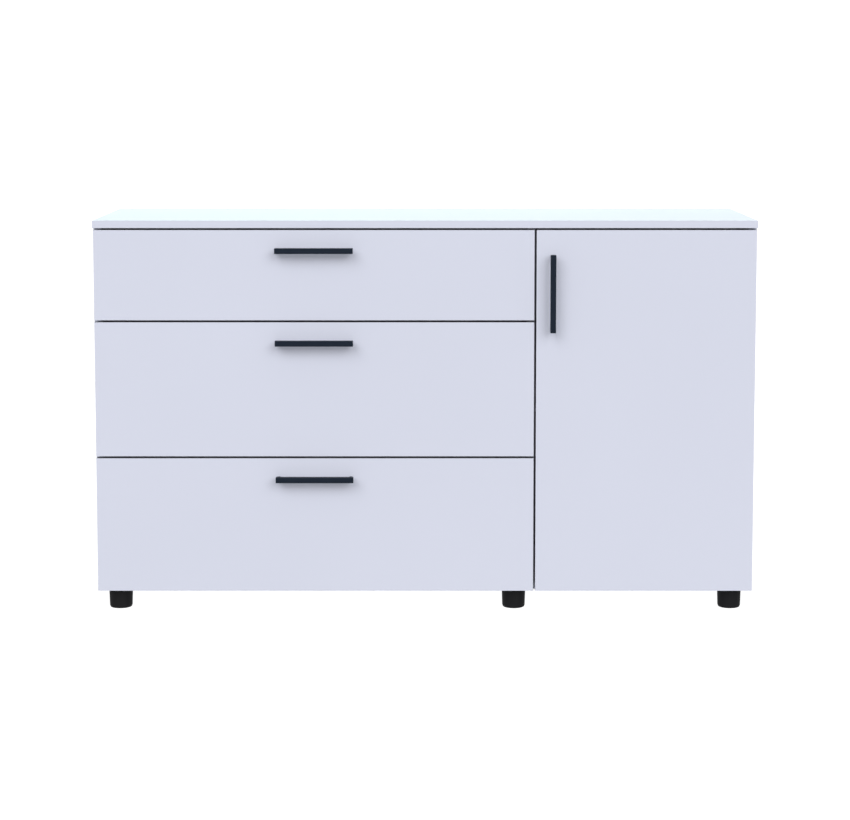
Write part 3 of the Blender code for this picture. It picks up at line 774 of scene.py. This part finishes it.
def build_drawer_fittings(drawer, made, steel, rubber, cap):
    """A drawer's handle screws, cam fittings, rear screws and bumpers."""
    handle_spots = handle_screws(f"{drawer}_handle", False)
    scatter(f"{drawer}_handle_screws", made["pan_screw"], handle_spots, drawer, steel)
    cams = []
    screws = []
    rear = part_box(f"{drawer}_box_rear")
    rear_y = (rear[0].y + rear[1].y) / 2
    for side, inwards, outwards in (("left", RIGHT, LEFT), ("right", LEFT, RIGHT)):
        low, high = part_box(f"{drawer}_box_{side}")
        inner_x, outer_x = (high.x, low.x) if side == "left" else (low.x, high.x)
        for z in (low.z + BOX_CAM_INSETS[0], high.z - BOX_CAM_INSETS[1]):
            cams.append(((inner_x, FRONT_REAR_Y + CAM_SETBACK, z), inwards))
        for z in (low.z + BOX_SCREW_INSETS[0], high.z - BOX_SCREW_INSETS[1]):
            screws.append(((outer_x, rear_y, z), outwards))
    scatter(f"{drawer}_cam_fittings", made["cam"], cams, drawer, cap)
    scatter(f"{drawer}_box_screws", made["low_screw"], screws, drawer, steel)
    low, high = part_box(f"{drawer}_front")
    bumpers = [
        ((x, FRONT_REAR_Y, z), BACK)
        for x in (low.x + FRONT_BUMPER_SIDE_INSETS[0], high.x - FRONT_BUMPER_SIDE_INSETS[1])
        for z in (low.z + FRONT_BUMPER_INSETS[0], high.z - FRONT_BUMPER_INSETS[1])
    ]
    scatter(f"{drawer}_bumpers", made["bumper"], bumpers, drawer, rubber)


def add_ball_row(builder, low_y, high_y, x, z, radius):
    """A flat cage along a runner, and the balls in it."""
    cage_low = (x - CAGE_HALF_WIDTH, low_y + CAGE_INSET, z - CAGE_HALF_THICKNESS)
    cage_high = (x + CAGE_HALF_WIDTH, high_y - CAGE_INSET, z + CAGE_HALF_THICKNESS)
    add_block(builder, cage_low, cage_high)
    count = int((high_y - low_y - 2 * BALL_INSET) / BALL_PITCH) + 1
    for index in range(count):
        place = Matrix.Translation((x, low_y + BALL_INSET + index * BALL_PITCH, z))
        bmesh.ops.create_icosphere(builder, subdivisions=2, radius=radius, matrix=place)


def build_runner_fittings(drawer, made, steel):
    """The screws of a drawer's runners, and the runners' balls in cages."""
    cabinet_spots = []
    drawer_spots = []
    cages = bmesh.new()
    for side, way, back, sign in (("left", RIGHT, LEFT, 1), ("right", LEFT, RIGHT, -1)):
        low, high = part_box(f"{drawer}_runner_{side}_cabinet")
        centre_z = (low.z + high.z) / 2
        face_x = low.x if side == "left" else high.x
        for y in (low.y + RUNNER_SCREW_INSET, (low.y + high.y) / 2, high.y - RUNNER_SCREW_INSET):
            cabinet_spots.append(((face_x + sign * CABINET_WEB, y, centre_z), way))
            drawer_spots.append(((face_x + sign * DRAWER_WEB, y, centre_z), back))
        for across, rise, radius in BALL_ROWS:
            x = face_x + sign * across
            for z in (centre_z - rise, centre_z + rise):
                add_ball_row(cages, low.y, high.y, x, z, radius)
    for member, spots, body in (("cabinet", cabinet_spots, "carcass"), ("drawer", drawer_spots, drawer)):
        scatter(f"{drawer}_runner_{member}_screws", made["low_screw"], spots, body, steel)
    add_piece(f"{drawer}_ball_cages", cages, f"{drawer}_runner_middles", steel)


def build_fittings():
    """Feet, screws, cam fittings, shelf pins, bumpers, ball cages and nails."""
    made = build_templates()
    steel = zinc_plate("fastener_zinc", BRUSHED_ALONG_Z)
    rubber = bumper_rubber()
    cap = cam_metal()
    build_feet()
    build_door_fittings(made, steel, rubber)
    build_carcass_fittings(made, steel, cap)
    for drawer in DRAWERS:
        build_drawer_fittings(drawer, made, steel, rubber, cap)
        build_runner_fittings(drawer, made, steel)


# ---------------------------------------------------------------- stage, light and camera

# The floor reaches this far each way, in metres, and glows so that it looks white to the camera.
FLOOR_REACH = 40.0
FLOOR_GREY = (0.25, 0.25, 0.25)
FLOOR_GLOW = 0.97

PURE_WHITE = (1.0, 1.0, 1.0)
FRONT_LIGHT_WHITE = (1.0, 0.99, 0.99)
WORLD_COLOUR = (0.97, 0.98, 1.0)
WORLD_STRENGTH = 0.40
BACKDROP_STRENGTH = 1.1

# Each sun: its elevation, its azimuth from straight in front towards the right and its spread, in
# degrees, then its strength and colour. The distance only says where its symbol stands.
SUNS = {
    "left_light": (32.5, -26.5, 43.5, 1.17, FRONT_LIGHT_WHITE),
    "right_light": (24.5, 29.0, 40.0, 1.045, FRONT_LIGHT_WHITE),
    "overhead_light": (84.0, 180.0, 30.0, 0.45, PURE_WHITE),
}
SUN_DISTANCE = 4.0

# Each soft box: its place, the point it is aimed at and its two sides, in metres, then its watts
# and colour.
SOFT_BOXES = {
    "top_glow": ((-0.5, 0.2, 2.2), (-0.4, 0.0, TOP_Z), (1.6, 0.6), 3.0, (0.30, 1.0, 0.60)),
    "rear_light": ((0.0, 3.2, 1.45), (0.0, 0.2, TOP_Z), (4.5, 1.2), 28.0, (0.85, 1.0, 0.97)),
}

# A long lens a little above the top, tipped down: its distance from the fronts and its height in
# metres, its tilt in degrees, its lens and sensor in millimetres, and its shift in picture widths.
CAMERA_DISTANCE = 4.468
CAMERA_HEIGHT = 1.131
CAMERA_TILT = 5.43
CAMERA_LENS = 90.25
CAMERA_SENSOR = 36.0
CAMERA_SHIFT = -0.15


def build_stage():
    """A plain pale floor that gives the object no light."""
    mesh = bpy.data.meshes.new("floor")
    corners = [(x * FLOOR_REACH, y * FLOOR_REACH, 0) for x, y in ((-1, -1), (1, -1), (1, 1), (-1, 1))]
    mesh.from_pydata(corners, [], [(0, 1, 2, 3)])
    floor = bpy.data.objects.new("floor", mesh)
    bpy.context.scene.collection.objects.link(floor)
    material = bpy.data.materials.new("floor_pale")
    material.use_nodes = True
    surface = material.node_tree.nodes["Principled BSDF"]
    surface.inputs["Base Color"].default_value = (*FLOOR_GREY, 1.0)
    surface.inputs["Roughness"].default_value = 1.0
    surface.inputs["Specular IOR Level"].default_value = 0.0
    surface.inputs["Emission Color"].default_value = (*PURE_WHITE, 1.0)
    surface.inputs["Emission Strength"].default_value = FLOOR_GLOW
    mesh.materials.append(material)
    floor.visible_diffuse = False
    floor.visible_glossy = False


def build_world():
    """White all round for the camera, softer for the light it gives."""
    world = bpy.data.worlds.new("studio")
    bpy.context.scene.world = world
    world.use_nodes = True
    nodes = world.node_tree.nodes
    links = world.node_tree.links
    nodes.clear()
    path = nodes.new("ShaderNodeLightPath")
    mixer = nodes.new("ShaderNodeMixShader")
    output = nodes.new("ShaderNodeOutputWorld")
    links.new(path.outputs["Is Camera Ray"], mixer.inputs[0])
    backgrounds = ((WORLD_COLOUR, WORLD_STRENGTH), (PURE_WHITE, BACKDROP_STRENGTH))
    for (colour, strength), socket in zip(backgrounds, mixer.inputs[1:]):
        background = nodes.new("ShaderNodeBackground")
        background.inputs["Color"].default_value = (*colour, 1.0)
        background.inputs["Strength"].default_value = strength
        links.new(background.outputs[0], socket)
    links.new(mixer.outputs[0], output.inputs[0])


def soft_sun(name, elevation, azimuth, spread, strength, colour):
    """An even light from far away."""
    data = bpy.data.lights.new(name, "SUN")
    data.angle = math.radians(spread)
    data.energy = strength
    data.color = colour
    lamp = bpy.data.objects.new(name, data)
    up = math.radians(elevation)
    turn = math.radians(azimuth)
    towards = Vector((math.cos(up) * math.sin(turn), -math.cos(up) * math.cos(turn), math.sin(up)))
    lamp.rotation_euler = towards.to_track_quat("Z", "Y").to_euler()
    lamp.location = towards * SUN_DISTANCE
    bpy.context.scene.collection.objects.link(lamp)


def soft_box(name, place, target, sides, watts, colour):
    """A rectangular light aimed at a point."""
    data = bpy.data.lights.new(name, "AREA")
    data.shape = "RECTANGLE"
    data.size, data.size_y = sides
    data.energy = watts
    data.color = colour
    lamp = bpy.data.objects.new(name, data)
    lamp.location = place
    lamp.rotation_euler = (Vector(target) - Vector(place)).to_track_quat("-Z", "Y").to_euler()
    lamp.visible_camera = False
    bpy.context.scene.collection.objects.link(lamp)


def build_lights():
    """Suns in front on the left and right and one overhead, and soft boxes above and behind the top."""
    for name, settings in SUNS.items():
        soft_sun(name, *settings)
    for name, settings in SOFT_BOXES.items():
        soft_box(name, *settings)


def build_camera():
    """The camera, and plain colours in the picture."""
    data = bpy.data.cameras.new("camera")
    data.lens = CAMERA_LENS
    data.sensor_width = CAMERA_SENSOR
    data.shift_y = CAMERA_SHIFT
    data.dof.use_dof = False
    camera = bpy.data.objects.new("camera", data)
    camera.location = (0.0, FACE_Y - CAMERA_DISTANCE, CAMERA_HEIGHT)
    camera.rotation_euler = (math.radians(90 - CAMERA_TILT), 0, 0)
    bpy.context.scene.collection.objects.link(camera)
    bpy.context.scene.camera = camera
    view = bpy.context.scene.view_settings
    view.view_transform = "Standard"
    view.look = "None"
    view.exposure = 0.0


dress_nodes()
build_fittings()
build_stage()
build_world()
build_lights()
build_camera()
